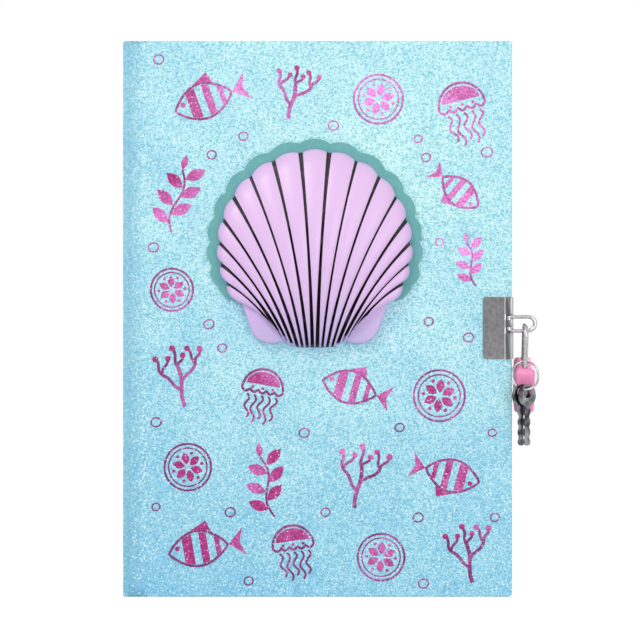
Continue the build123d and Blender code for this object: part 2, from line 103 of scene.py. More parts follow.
def bevel_caps(piece, width, segments, flush_x):
    """Rounds the rims of a prism's two flat faces, but not at flush_x, where it meets a neighbour."""
    mesh = piece.data
    half = len(mesh.vertices) // 2
    weights = mesh.attributes.new("bevel_weight_edge", "FLOAT", "EDGE")
    for edge in mesh.edges:
        first, second = edge.vertices
        same_face = (first < half) == (second < half)
        flush = all(abs(mesh.vertices[end].co.x - flush_x * MM) < TINY for end in (first, second))
        weights.data[edge.index].value = 1.0 if same_face and not flush else 0.0
    add_bevel(piece, width, segments).limit_method = "WEIGHT"


def prism(outline, near, far):
    """A closed plate between two depths. The outline is (x, z) points, anticlockwise from the front."""
    count = len(outline)
    points = [(x, -near, z) for x, z in outline] + [(x, -far, z) for x, z in outline]
    faces = [list(range(count - 1, -1, -1)), list(range(count, 2 * count))]
    for index in range(count):
        after = (index + 1) % count
        faces.append([index, after, count + after, count + index])
    return points, faces


def panel(left, right, foot, top):
    """The outline of an upright rectangle."""
    return [(left, foot), (right, foot), (right, top), (left, top)]


def rounded_panel(left, right, foot, top, radius, steps=6):
    """The outline of a panel whose two fore-edge corners are rounded."""
    outline = [(left, foot)]
    for centre_z, start in ((foot + radius, -90.0), (top - radius, 0.0)):
        for step in range(steps + 1):
            turn = math.radians(start + 90.0 * step / steps)
            outline.append((right - radius + radius * math.cos(turn), centre_z + radius * math.sin(turn)))
    outline.append((left, top))
    return outline


def soften(outline, rounds=2, cut=0.25):
    """Cuts the corners of a closed outline so that it reads as one curve."""
    for _ in range(rounds):
        smoother = []
        for (x, z), (next_x, next_z) in zip(outline, outline[1:] + outline[:1]):
            for share in (cut, 1.0 - cut):
                smoother.append(((1.0 - share) * x + share * next_x, (1.0 - share) * z + share * next_z))
        outline = smoother
    return outline


# Materials
MIX_FACTOR, MIX_FIRST, MIX_SECOND, MIX_COLOUR = 0, 6, 7, 2


class Shader:
    """A principled material and short ways to add nodes to it."""

    def __init__(self, name, colour, rough, metal=0.0, **others):
        self.material = bpy.data.materials.new(name)
        self.material.use_nodes = True
        self.tree = self.material.node_tree
        self.bsdf = self.tree.nodes["Principled BSDF"]
        self.bsdf.inputs["Base Color"].default_value = (*colour, 1.0)
        self.bsdf.inputs["Roughness"].default_value = rough
        self.bsdf.inputs["Metallic"].default_value = metal
        for key, value in others.items():
            self.bsdf.inputs[key.replace("_", " ")].default_value = value

    def node(self, kind, links=None, values=None, **settings):
        """Adds a node. links maps inputs to sockets, and values maps inputs to constants."""
        made = self.tree.nodes.new(kind)
        for key, value in settings.items():
            setattr(made, key, value)
        for key, socket in (links or {}).items():
            self.tree.links.new(socket, made.inputs[key])
        for key, value in (values or {}).items():
            made.inputs[key].default_value = value
        return made

    def place(self):
        """Object coordinates, which are the row frame in metres."""
        return self.node("ShaderNodeTexCoord").outputs["Object"]

    def parts(self, vector):
        """The X, Y and Z of a vector."""
        return self.node("ShaderNodeSeparateXYZ", links={"Vector": vector}).outputs

    def frontness(self):
        """How squarely a face looks to the front or the back of the row frame, from 0 to 1."""
        normal = self.node("ShaderNodeTexCoord").outputs["Normal"]
        return self.math("ABSOLUTE", self.parts(normal)["Y"])

    def math(self, operation, first, second=0.0):
        """A math node on sockets or constants."""
        made = self.node("ShaderNodeMath", operation=operation)
        for slot, value in enumerate((first, second)):
            if isinstance(value, (int, float)):
                made.inputs[slot].default_value = value
            else:
                self.tree.links.new(value, made.inputs[slot])
        return made.outputs[0]

    def spread(self, value, start=0.0, end=1.0, low=0.0, high=1.0):
        """Maps the way from start to end onto low to high, and holds the value there beyond."""
        made = self.node("ShaderNodeMapRange", links={"Value": value}, values={
            "From Min": start, "From Max": end, "To Min": low, "To Max": high})
        return made.outputs[0]

    def ramp(self, factor, stops):
        """A colour ramp with (position, colour) stops."""
        made = self.node("ShaderNodeValToRGB", links={"Fac": factor})
        ramp = made.color_ramp
        while len(ramp.elements) < len(stops):
            ramp.elements.new(1.0)
        for element, (position, colour) in zip(ramp.elements, stops):
            element.position = position
            element.color = (*colour, 1.0)
        return made.outputs["Color"]

    def mix(self, factor, first, second):
        """A colour mix of two sockets or colours."""
        made = self.node("ShaderNodeMix", data_type="RGBA")
        for slot, value in ((MIX_FACTOR, factor), (MIX_FIRST, first), (MIX_SECOND, second)):
            if isinstance(value, (int, float)):
                made.inputs[slot].default_value = value
            elif isinstance(value, tuple):
                made.inputs[slot].default_value = (*value, 1.0)
            else:
                self.tree.links.new(value, made.inputs[slot])
        return made.outputs[MIX_COLOUR]

    def noise(self, scale, detail=2.0):
        """Noise over the row frame, from 0 to 1."""
        return self.node("ShaderNodeTexNoise", links={"Vector": self.place()},
                         values={"Scale": scale, "Detail": detail}).outputs["Fac"]

    def colour(self, socket):
        """Sets the base colour."""
        self.tree.links.new(socket, self.bsdf.inputs["Base Color"])

    def rough(self, socket):
        """Sets the roughness."""
        self.tree.links.new(socket, self.bsdf.inputs["Roughness"])

    def bump(self, height, strength, depth):
        """Adds a bump whose depth is in millimetres."""
        bumped = self.node("ShaderNodeBump", links={"Height": height},
                           values={"Strength": strength, "Distance": depth * MM})
        self.tree.links.new(bumped.outputs["Normal"], self.bsdf.inputs["Normal"])


FLAKES_PER_METRE, PAINTED_GLINTS_PER_METRE = 1900.0, 1250.0
PAINTED_GLINT_CHANCE, PAINTED_GLINT_REACH = 0.84, 0.5
# The spot where the painted highlight on the glitter and foil is palest, and how far it reaches, in
# millimetres
PAINTED_HIGHLIGHT_SPOT, PAINTED_HIGHLIGHT_REACH = (20.0, -21.0, 165.0), 200.0
SPINE_SHADE_END_X = -65.0
SPINE_SHADE_SHARE, SPINE_SHADE_TONE = 0.5, (0.17, 0.45, 0.62)
MID_NOISE = 0.5


def flake_shader(name, low_stops, high_stops, rough, tilt, painted_glint_colour, patch_scale, patch_share, highlight_fade):
    """Glitter: each flake has its own shade and leans its own way. The first stops give way to the second
    towards the palest spot of a painted highlight on the cover, faster with a higher fade power and unevenly
    by patch_share. A few larger flakes carry painted glints that are nearly white, and painted shade darkens
    the flakes where the sheet turns over the spine."""
    shader = Shader(name, low_stops[1][1], rough)
    place = shader.place()
    flakes = shader.node("ShaderNodeTexVoronoi", links={"Vector": place}, values={"Scale": FLAKES_PER_METRE})
    shade = shader.node("ShaderNodeSeparateColor", links={"Color": flakes.outputs["Color"]}).outputs[0]
    patches = shader.math("SUBTRACT", shader.noise(patch_scale), MID_NOISE)
    uneven = shader.math("MULTIPLY", patches, patch_share)
    # Painted highlight: the colour gives way to the paler stops near one spot of the cover
    apart = shader.node("ShaderNodeVectorMath", operation="DISTANCE", links={0: place},
                        values={1: [value * MM for value in PAINTED_HIGHLIGHT_SPOT]}).outputs["Value"]
    painted_highlight = shader.math("SUBTRACT", 1.0, shader.math("DIVIDE", apart, PAINTED_HIGHLIGHT_REACH * MM))
    change = shader.math("ADD", shader.math("POWER", painted_highlight, highlight_fade), uneven)
    body = shader.mix(change, shader.ramp(shade, low_stops), shader.ramp(shade, high_stops))

    # Painted glints: a few flakes are coloured nearly white, as if they caught the lamp
    painted_glints = shader.node("ShaderNodeTexVoronoi", links={"Vector": place}, values={"Scale": PAINTED_GLINTS_PER_METRE})
    chance = shader.node("ShaderNodeSeparateColor", links={"Color": painted_glints.outputs["Color"]}).outputs[1]
    bright = shader.math("GREATER_THAN", chance, PAINTED_GLINT_CHANCE)
    near = shader.math("LESS_THAN", painted_glints.outputs["Distance"], PAINTED_GLINT_REACH)
    sparkling = shader.mix(shader.math("MULTIPLY", bright, near), body, painted_glint_colour)

    # Painted shade: the glitter darkens towards the spine's rounded edge, on the faces that look to the front
    # or back
    spine_shade_reach = shader.spread(shader.parts(place)["X"], SPINE_SHADE_END_X * MM, SPINE_INSIDE_X * MM,
                             high=SPINE_SHADE_SHARE)
    painted_spine_shade = shader.math("MULTIPLY", spine_shade_reach, shader.frontness())
    shader.colour(shader.mix(painted_spine_shade, sparkling, SPINE_SHADE_TONE))

    lean = shader.node("ShaderNodeVectorMath", operation="SUBTRACT",
                       links={0: flakes.outputs["Color"]}, values={1: (MID_NOISE, MID_NOISE, MID_NOISE)})
    tilted = shader.node("ShaderNodeVectorMath", operation="SCALE", links={0: lean.outputs[0]},
                         values={"Scale": tilt})
    facing = shader.node("ShaderNodeNewGeometry").outputs["Normal"]
    leaned = shader.node("ShaderNodeVectorMath", operation="ADD", links={0: facing, 1: tilted.outputs[0]})
    normal = shader.node("ShaderNodeVectorMath", operation="NORMALIZE", links={0: leaned.outputs[0]})
    shader.tree.links.new(normal.outputs[0], shader.bsdf.inputs["Normal"])
    return shader.material


glitter = flake_shader(
    "glitter",
    [(0.0, (0.15, 0.47, 0.70)), (0.5, (0.248, 0.595, 0.82)), (1.0, (0.34, 0.70, 0.88))],
    [(0.0, (0.24, 0.585, 0.66)), (0.5, (0.494, 0.90, 0.918)), (1.0, (0.80, 1.0, 1.0))],
    rough=0.5, tilt=0.4, painted_glint_colour=(0.72, 0.97, 1.0), patch_scale=45.0, patch_share=0.9, highlight_fade=1.0,
)
foil = flake_shader(
    "foil",
    [(0.0, (0.24, 0.006, 0.12)), (0.5, (0.42, 0.010, 0.19)), (1.0, (0.58, 0.03, 0.31))],
    [(0.0, (0.80, 0.14, 0.62)), (0.5, (1.0, 0.30, 0.85)), (1.0, (1.0, 0.52, 1.0))],
    rough=0.35, tilt=0.5, painted_glint_colour=(1.0, 0.60, 0.86), patch_scale=60.0, patch_share=2.0, highlight_fade=2.0,
)
foil_line = flake_shader(
    "foil_line",
    [(0.0, (0.12, 0.006, 0.09)), (0.5, (0.22, 0.010, 0.15)), (1.0, (0.33, 0.03, 0.23))],
    [(0.0, (0.50, 0.08, 0.42)), (0.5, (0.76, 0.20, 0.64)), (1.0, (0.92, 0.36, 0.84))],
    rough=0.35, tilt=0.4, painted_glint_colour=(0.85, 0.45, 0.74), patch_scale=60.0, patch_share=2.0, highlight_fade=2.0,
)

RULE_SPACING, RULE_SHARE, RULE_TONE = 7.0, 0.045, (0.62, 0.36, 0.55)
STREAKS_PER_METRE = 1300.0
PAGE_FACING = 0.7


def ruled_paper():
    """Ruled pages, with the streaks of separate leaves on their cut edges."""
    shader = Shader("paper", (0.86, 0.83, 0.76), rough=0.85)
    spot = shader.parts(shader.place())
    rows = shader.math("FRACT", shader.math("DIVIDE", spot["Z"], RULE_SPACING * MM))
    flat = shader.math("GREATER_THAN", shader.frontness(), PAGE_FACING)
    rule = shader.math("MULTIPLY", shader.math("LESS_THAN", rows, RULE_SHARE), flat)
    tone = shader.ramp(shader.noise(scale=140.0, detail=3.0),
                       [(0.3, (0.86, 0.835, 0.76)), (0.7, (0.90, 0.88, 0.81))])
    page = shader.mix(rule, tone, RULE_TONE)
    streak = shader.node("ShaderNodeTexNoise", noise_dimensions="1D", links={"W": spot["Y"]},
                         values={"Scale": STREAKS_PER_METRE, "Detail": 2.0}).outputs["Fac"]
    edge = shader.ramp(streak, [(0.36, (0.66, 0.62, 0.54)), (0.64, (0.92, 0.90, 0.83))])
    shader.colour(shader.mix(flat, edge, page))
    return shader.material


paper = ruled_paper()
TOOTH_DEPTH = 0.1


def mottled(name, colour, rough, grain, stops, tooth=None, tooth_strength=0.0):
    """A dull stuff with faint blotches of tone, and a fine tooth where one is given."""
    shader = Shader(name, colour, rough)
    shader.colour(shader.ramp(shader.noise(grain, detail=4.0), stops))
    if tooth is not None:
        shader.bump(shader.noise(tooth, detail=3.0), tooth_strength, TOOTH_DEPTH)
    return shader.material


endpaper = mottled(
    "endpaper", (0.80, 0.42, 0.60), rough=0.8, grain=260.0,
    stops=[(0.3, (0.77, 0.39, 0.57)), (0.7, (0.83, 0.45, 0.63))],
    tooth=1200.0, tooth_strength=0.15,
)
teal = mottled(
    "teal", (0.15, 0.43, 0.43), rough=0.8, grain=420.0,
    stops=[(0.3, (0.135, 0.405, 0.405)), (0.7, (0.165, 0.455, 0.455))],
    tooth=1500.0, tooth_strength=0.2,
)
groove_paint = mottled(
    "groove_paint", (0.018, 0.011, 0.018), rough=0.45, grain=230.0,
    stops=[(0.40, (0.010, 0.006, 0.010)), (0.58, (0.026, 0.017, 0.027)), (0.74, (0.13, 0.09, 0.14))],
)

THREADS_PER_METRE, WEAVE_STRENGTH, WEAVE_DEPTH = 2500.0, 0.5, 0.2


def woven_cloth():
    """The cloth on the back of the page block, with threads both ways."""
    shader = Shader("lining_cloth", (0.80, 0.72, 0.76), rough=0.9)
    threads = [
        shader.node("ShaderNodeTexWave", links={"Vector": shader.place()}, bands_direction=way,
                    values={"Scale": THREADS_PER_METRE / math.tau}).outputs["Fac"]
        for way in ("Y", "Z")
    ]
    shader.bump(shader.math("ADD", *threads), WEAVE_STRENGTH, WEAVE_DEPTH)
    return shader.material


lining_cloth = woven_cloth()
LILAC_TOP_Z = 150.0


def shell_plastic():
    """Lilac plastic, bluer towards the foot, partly as its own tone and partly as painted shade
    on the ears, with an uneven gloss.
    """
    shader = Shader("lilac", (0.72, 0.47, 0.80), rough=0.38, Coat_Weight=0.25, Coat_Roughness=0.25)
    up = shader.spread(shader.parts(shader.place())["Z"], shell_low[2] * MM, LILAC_TOP_Z * MM)
    # Painted shade in part: the lowest stop, on the ears, is bluer and darker as they look shaded
    shader.colour(shader.ramp(up, [
        (0.0, (0.50, 0.43, 0.73)), (0.35, (0.74, 0.50, 0.83)), (1.0, (0.80, 0.54, 0.86))]))
    shader.rough(shader.spread(shader.noise(scale=160.0, detail=3.0), low=0.30, high=0.46))
    return shader.material


lilac = shell_plastic()


def jacket_plastic():
    """The padlock's pink plastic, a little worn."""
    shader = Shader("pink", (1.0, 0.31, 0.58), rough=0.32, Coat_Weight=0.3, Coat_Roughness=0.15)
    wear = shader.noise(scale=380.0, detail=4.0)
    shader.colour(shader.ramp(wear, [(0.35, (0.96, 0.28, 0.545)), (0.65, (1.0, 0.33, 0.60))]))
    shader.rough(shader.spread(wear, low=0.24, high=0.42))
    shader.bump(shader.noise(scale=1600.0), strength=0.12, depth=TOOTH_DEPTH)
    return shader.material


pink = jacket_plastic()


def plated(name, dull, bright, rough_low, rough_high, grain):
    """Worn plating: blotches of tone and polish over metal. On the keys they are strong enough
    to be painted reflections.
    """
    shader = Shader(name, bright, rough_low, metal=1.0)
    blotch = shader.noise(grain, detail=5.0)
    shader.colour(shader.ramp(blotch, [(0.35, dull), (0.68, bright)]))
    shader.rough(shader.spread(blotch, low=rough_high, high=rough_low))
    return shader


BARREL_FROM_X, BARREL_TO_X, BARREL_START = 70.5, 73.9, 0.02
CLIP_TOP_DARKENING, TOP_DARKENING_TONE, TOP_DARKENING_SCALE = 0.55, (0.06, 0.065, 0.065), 120.0


def clip_plating():
    """The clip plating, darker in patches at the top, with painted reflections in bands along the barrel."""
    shader = plated("clip_nickel", dull=(0.155, 0.153, 0.158), bright=(0.235, 0.230, 0.237),
                    rough_low=0.30, rough_high=0.42, grain=700.0)
    metal = shader.bsdf.inputs["Base Color"].links[0].from_socket
    spot = shader.parts(shader.place())
    round_barrel = shader.spread(spot["X"], BARREL_FROM_X * MM, BARREL_TO_X * MM)
    # Painted reflection: light and dark bands across the barrel, as a glossy cylinder shows them
    painted_barrel_reflection = shader.ramp(round_barrel, [
        (BARREL_START, (0.30, 0.30, 0.31)), (0.10, (0.90, 0.90, 0.90)), (0.22, (0.12, 0.12, 0.125)),
        (0.62, (0.16, 0.16, 0.165)), (0.76, (0.85, 0.85, 0.85)), (0.92, (0.35, 0.35, 0.36))])
    # The plate turns darker in patches towards the top of the clip
    height = shader.spread(spot["Z"], clip_low[2] * MM, clip_high[2] * MM, high=CLIP_TOP_DARKENING)
    patch = shader.math("MULTIPLY", height, shader.noise(TOP_DARKENING_SCALE))
    plate = shader.mix(patch, metal, TOP_DARKENING_TONE)
    shader.colour(shader.mix(shader.math("GREATER_THAN", round_barrel, BARREL_START), plate, painted_barrel_reflection))
    return shader.material


clip_nickel = clip_plating()
wire_nickel = plated("wire_nickel", dull=(0.44, 0.43, 0.44), bright=(0.60, 0.59, 0.60),
                     rough_low=0.14, rough_high=0.24, grain=900.0).material
# The keys' near-black and bright blotches are painted reflections of dark surroundings and of highlights
key_nickel = plated("key_nickel", dull=(0.055, 0.058, 0.066), bright=(0.44, 0.45, 0.46),
                    rough_low=0.14, rough_high=0.26, grain=260.0).material
case_steel = plated("case_steel", dull=(0.30, 0.30, 0.31), bright=(0.52, 0.52, 0.53),
                    rough_low=0.35, rough_high=0.50, grain=600.0).material
brass = plated("brass", dull=(0.45, 0.33, 0.14), bright=(0.72, 0.55, 0.26),
               rough_low=0.25, rough_high=0.40, grain=600.0).material


# Cover: wrapped boards, the spine and the two joints
CORNER_RADIUS = 1.5
WRAP_EDGE, WRAP_EDGE_STEPS = 0.5, 3
SPINE_EDGE, SPINE_EDGE_STEPS = 0.9, 4
for name, near, far, body, stands_for in (
    ("front_wrap", FRONT_INSIDE, FRONT_OUT, "front_cover", ("front_board", "front_sheet")),
    ("back_wrap", BACK_OUT, BACK_INSIDE, "case", ("back_board", "back_sheet")),
):
    outline = rounded_panel(BOARD_LEFT_X, FORE_X, 0.0, COVER_HEIGHT, CORNER_RADIUS)
    wrap = make_mesh(name, *prism(outline, near, far), [glitter], body, "glitter_sheet")
    bevel_caps(wrap, WRAP_EDGE, WRAP_EDGE_STEPS, BOARD_LEFT_X)
    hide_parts(*stands_for)

spine_outline = panel(SPINE_X, SPINE_INSIDE_X, 0.0, COVER_HEIGHT)
spine_wrap = make_mesh("spine_wrap", *prism(spine_outline, BACK_OUT, FRONT_OUT), [glitter], "case",
                       "glitter_sheet")
add_bevel(spine_wrap, SPINE_EDGE, SPINE_EDGE_STEPS)
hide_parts("spine_board", "spine_sheet")

JOINT_STEPS, JOINT_LEVELS = 28, 42
JOINT_DIP, JOINT_DIP_POWER = 0.45, 1.5
JOINT_SHEET, JOINT_LAP = 0.4, 0.5


def joint_strip(outside, inward):
    """The sheet across a cover joint, dipped into the groove, as a closed strip."""
    left, right = SPINE_INSIDE_X - JOINT_LAP, BOARD_LEFT_X
    points = []
    for level in range(JOINT_LEVELS + 1):
        z = COVER_HEIGHT * level / JOINT_LEVELS
        for side in (0.0, JOINT_SHEET):
            for step in range(JOINT_STEPS + 1):
                share = step / JOINT_STEPS
                dip = JOINT_DIP * math.sin(math.pi * share) ** JOINT_DIP_POWER
                points.append((left + (right - left) * share, -(outside + inward * (dip + side)), z))
    row = JOINT_STEPS + 1
    ring = 2 * row
    order = list(range(row)) + list(range(ring - 1, row - 1, -1))
    faces = []
    for level in range(JOINT_LEVELS):
        below, above = level * ring, (level + 1) * ring
        for here, there in zip(order, order[1:] + order[:1]):
            faces.append([below + here, below + there, above + there, above + here])
    faces.append(order[::-1])
    faces.append([JOINT_LEVELS * ring + index for index in order])
    if inward > 0:
        faces = [face[::-1] for face in faces]
    return points, faces


front_joint_wrap = make_mesh("front_joint_wrap", *joint_strip(FRONT_OUT, -1), [glitter], None,
                             "glitter_sheet", smooth=True)
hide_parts("front_joint")
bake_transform(front_joint_wrap)
back_joint_wrap = make_mesh("back_joint_wrap", *joint_strip(BACK_OUT, 1), [glitter], "case",
                            "glitter_sheet", smooth=True)
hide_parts("back_joint")


# Pages: every signature is a stack of leaves whose edges lie a little unevenly
SIGNATURES, LEAVES = 8, 8
LEAF_GAP, EDGE_SCATTER, SCATTER_SEED = 0.03, 0.16, 5
BLOCK_BACK, SIGNATURE = -block_high[1], block_high[1] - block_low[1]
scatter = random.Random(SCATTER_SEED)
for number in range(SIGNATURES):
    points, faces = [], []
    for leaf in range(LEAVES):
        near = BLOCK_BACK + number * SIGNATURE + leaf * SIGNATURE / LEAVES
        far = near + SIGNATURE / LEAVES - LEAF_GAP
        foot_inset, fore_inset, head_inset = (scatter.uniform(0.0, EDGE_SCATTER) for _ in range(3))
        outline = panel(block_low[0], block_high[0] - fore_inset,
                        block_low[2] + foot_inset, block_high[2] - head_inset)
        leaf_points, leaf_faces = prism(outline, near, far)
        faces += [[index + len(points) for index in face] for face in leaf_faces]
        points += leaf_points
    leaves = make_mesh(f"leaves_{number + 1}", points, faces, [paper], "case", "paper")
    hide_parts(f"signature_{number + 1}")


# Shell ornament: ribs between painted grooves that start steep at the foot and lean out to the rim
RIBS, RIB_STEPS = 17, 8
SCALLOP, SCALLOP_POWER = 1.5, 6
SHELL_X, SHELL_Z = (shell_low[0] + shell_high[0]) / 2, 132.2
SHELL_RADIUS = shell_high[2] - SCALLOP - SHELL_Z
RIB_SPREAD, RIB_CROWDING, RIB_CROWDING_POWER = 147.0, 29.0, 3
EDGE_FLARE, EDGE_FLARE_POWER = 7.0, 9
FOOT_RAISE, FOOT_SPREAD, FOOT_LIFT, FOOT_LIFT_POWER = 0.2, 15.7, 8.5, 4
GROOVE_CURVE, GROOVE_CURVE_POWER = 0.11, 0.6
DOME_Z, DOME_REACH, DOME_RIM, DOME_CROWN = 131.0, 39.5, 3.4, 8.0
RIB_BULGE, GROOVE_DEPTH, SKIRT = 0.8, 1.1, 1.0
WALL, WALL_MOST = 0.16, 0.08
PAINT_DELAY, PAINT_MIDDLE = 0.36, 0.5
EVEN_ROWS, EVEN_FROM, EVEN_SHARE = 45, 0.07, 0.86
ROWS = [
    0.0, 0.006, 0.02, 0.04,
    *(EVEN_FROM + EVEN_SHARE * step / (EVEN_ROWS - 1) for step in range(EVEN_ROWS)),
    0.945, 0.958, 0.97, 0.98, 0.988, 0.994, 0.998, 1.0,
]
ROUND_FROM, FOOT_ROUND = 0.93, 0.04
GROOVE_HALF = ((0.0, 0.52), (0.15, 0.46), (0.5, 0.31), (0.8, 0.40), (1.0, 0.68))
GROOVE_SEED, GROOVE_NARROWEST, GROOVE_WIDEST = 11, 0.6, 1.3
CREASE = 48.0
groove_random = random.Random(GROOVE_SEED)
groove_scale = [groove_random.uniform(GROOVE_NARROWEST, GROOVE_WIDEST) for _ in range(RIBS + 1)]


def side_share(number):
    """How far out a groove lies in the fan, from -1 at one edge to 1 at the other."""
    return 2.0 * number / RIBS - 1.0


def groove_point(number, along):
    """A place on a groove's line in (x, z), from the foot at 0 to the rim at 1."""
    share = side_share(number)
    crowding = RIB_CROWDING * share**RIB_CROWDING_POWER
    turn = math.radians(RIB_SPREAD * share - crowding + EDGE_FLARE * share**EDGE_FLARE_POWER)
    rim = (SHELL_X + SHELL_RADIUS * math.sin(turn), SHELL_Z + SHELL_RADIUS * math.cos(turn))
    foot = (SHELL_X + FOOT_SPREAD * share, shell_low[2] + FOOT_RAISE + FOOT_LIFT * share**FOOT_LIFT_POWER)
    chord = (rim[0] - foot[0], rim[1] - foot[1])
    side = -1.0 if share > 0 else 1.0
    off = side * GROOVE_CURVE * abs(share) ** GROOVE_CURVE_POWER
    bend = ((foot[0] + rim[0]) / 2 + chord[1] * off, (foot[1] + rim[1]) / 2 - chord[0] * off)
    return tuple((1 - along) ** 2 * a + 2 * along * (1 - along) * b + along**2 * c
                 for a, b, c in zip(foot, bend, rim))


def groove_half(number, along):
    """Half the width of a painted groove. The two outer edges of the fan have none."""
    if number in (0, RIBS):
        return 0.0
    for (start, low), (end, high) in zip(GROOVE_HALF, GROOVE_HALF[1:]):
        if along <= end:
            return groove_scale[number] * (low + (high - low) * (along - start) / (end - start))
    return groove_scale[number] * GROOVE_HALF[-1][1]


def dome_height(x, z):
    """Height of the rib crests above the card."""
    reach = ((x - SHELL_X) ** 2 + (z - DOME_Z) ** 2) / DOME_REACH**2
    return DOME_RIM + DOME_CROWN * max(0.0, 1.0 - reach)


def end_round(along):
    """How far the ribs keep their height near the rim and the foot."""
    if along > ROUND_FROM:
        return math.sqrt(max(0.0, 1.0 - ((along - ROUND_FROM) / (1.0 - ROUND_FROM)) ** 2))
    if along < FOOT_ROUND:
        return math.sqrt(max(0.0, 1.0 - (1.0 - along / FOOT_ROUND) ** 2))
    return 1.0


def paint_start(number):
    """How far up a groove its paint begins: at the foot in the middle of the fan, and later to the sides."""
    return PAINT_DELAY * max(0.0, abs(side_share(number)) - PAINT_MIDDLE)


def rib_spots(rib, left, right, wall):
    """Shares of the way across a rib, each with the number of the groove on whose floor it lies, if any."""
    low, high = left + wall, 1.0 - right - wall
    spots = [(low + (high - low) * step / RIB_STEPS, None) for step in range(RIB_STEPS + 1)]
    before = [(0.0, rib), (left, rib)] if rib > 0 else [(0.0, None)]
    after = [(1.0 - right, rib + 1)] if rib < RIBS - 1 else [(1.0, None)]
    return before + spots + after


def shell_row(along):
    """One line of points across every rib, and whether each step between them is painted groove."""
    line, painted = [], []
    for rib in range(RIBS):
        start, end = groove_point(rib, along), groove_point(rib + 1, along)
        width = math.hypot(end[0] - start[0], end[1] - start[1])
        left, right = groove_half(rib, along) / width, groove_half(rib + 1, along) / width
        for share, groove in rib_spots(rib, left, right, min(WALL / width, WALL_MOST)):
            x = start[0] + (end[0] - start[0]) * share
            z = start[1] + (end[1] - start[1]) * share
            out = math.hypot(x - SHELL_X, z - SHELL_Z)
            swell = SCALLOP * math.sin(math.pi * share) * along**SCALLOP_POWER / out
            x, z = x + (x - SHELL_X) * swell, z + (z - SHELL_Z) * swell
            height = dome_height(x, z) - RIB_BULGE * (2.0 * share - 1.0) ** 2
            if groove is not None:
                height -= GROOVE_DEPTH
            line.append((x, z, SKIRT + (height - SKIRT) * end_round(along)))
            painted.append(groove is not None and along >= paint_start(groove))
    return line, [here or there for here, there in zip(painted, painted[1:])]


def shell_mesh():
    """The fan's points, its faces and the material number of each face: plastic at 0 and paint at 1."""
    rows = [shell_row(along) for along in ROWS]
    columns = len(rows[0][0])
    last_row = len(rows) - 1
    points = [(x, -(SHELL_BACK + height), z) for line, _ in rows for x, z, height in line]
    faces, face_paint = [], []
    for row in range(last_row):
        for column in range(columns - 1):
            base = row * columns + column
            faces.append([base, base + 1, base + columns + 1, base + columns])
            face_paint.append(1 if rows[row][1][column] else 0)
    rim = [
        *range(columns),
        *(row * columns + columns - 1 for row in range(1, last_row + 1)),
        *(last_row * columns + column for column in range(columns - 2, -1, -1)),
        *(row * columns for row in range(last_row - 1, 0, -1)),
    ]
    skirt = len(points)
    points += [(points[index][0], -SHELL_BACK, points[index][2]) for index in rim]
    for spot, index in enumerate(rim):
        after = (spot + 1) % len(rim)
        faces.append([index, skirt + spot, skirt + after, rim[after]])
    faces.append([skirt + spot for spot in range(len(rim) - 1, -1, -1)])
    face_paint += [0] * (len(faces) - len(face_paint))
    return points, faces, face_paint


fan_points, fan_faces, fan_paint = shell_mesh()
shell_fan = make_mesh("shell_fan", fan_points, fan_faces, [lilac, groove_paint], "front_cover",
                      "shell_plastic", fan_paint, smooth=True)
shell_fan.data.set_sharp_from_angle(angle=math.radians(CREASE))
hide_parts("shell")

# The two ears, as one outline that is drawn for one side and mirrored
EAR_POINTS = [
    (0.0, 99.2), (7.0, 98.8), (10.4, 97.6), (13.2, 96.0), (17.6, 95.6),
    (21.6, 97.0), (24.2, 100.6), (25.2, 104.6), (27.0, 109.0), (27.2, 113.0),
]
EAR_TOP, EAR_EDGE, EAR_EDGE_STEPS, EAR_EDGE_ANGLE = 3.0, 0.9, 4, 60.0
ear_outline = [(SHELL_X + x, z) for x, z in EAR_POINTS]
ear_outline += [(SHELL_X - x, z) for x, z in EAR_POINTS[:0:-1]]
shell_ears = make_mesh("shell_ears", *prism(soften(ear_outline), FRONT_OUT, SHELL_BACK + EAR_TOP),
                       [lilac], "front_cover", "shell_plastic")
add_bevel(shell_ears, EAR_EDGE, EAR_EDGE_STEPS, EAR_EDGE_ANGLE)

# The foot of the fan rests on the cover below the card
FOOT_INSET, FOOT_LAP = 0.15, 0.2
foot_line = [groove_point(number, 0.0) for number in range(RIBS + 1)]
foot_outline = [(x, z + FOOT_INSET) for x, z in foot_line]
make_mesh("shell_foot", *prism(foot_outline, FRONT_OUT, SHELL_BACK + FOOT_LAP), [lilac],
          "front_cover", "shell_plastic")


# Foil print: drawn motifs as thin plates on the cover, in outlines and filled parts
FOIL_RISE, PLATE_STEP = 0.05, 0.004
FILL_PAINT, STROKE_PAINT = 0, 1
OUTLINE, THIN, FINE = 0.95, 0.8, 0.55


def circle(x, y, radius, across=None, steps=36):
    """Points round a circle or an upright ellipse."""
    wide = radius if across is None else across
    return [(x + wide * math.cos(math.tau * step / steps), y + radius * math.sin(math.tau * step / steps))
            for step in range(steps)]


def half_ring(y, tall, wide, steps):
    """Points over the upper half of an ellipse, from right to left."""
    turns = [math.pi * step / steps for step in range(steps + 1)]
    return [(wide * math.cos(turn), y + tall * math.sin(turn)) for turn in turns]


def sway(start, end, swing, waves, steps=24):
    """A line from start to end that swings from side to side."""
    across = (end[0] - start[0], end[1] - start[1])
    length = math.hypot(*across)
    side = (-across[1] / length, across[0] / length)
    line = []
    for step in range(steps + 1):
        share = step / steps
        off = swing * math.sin(math.tau * waves * share)
        x = start[0] + across[0] * share + side[0] * off
        y = start[1] + across[1] * share + side[1] * off
        line.append((x, y))
    return line


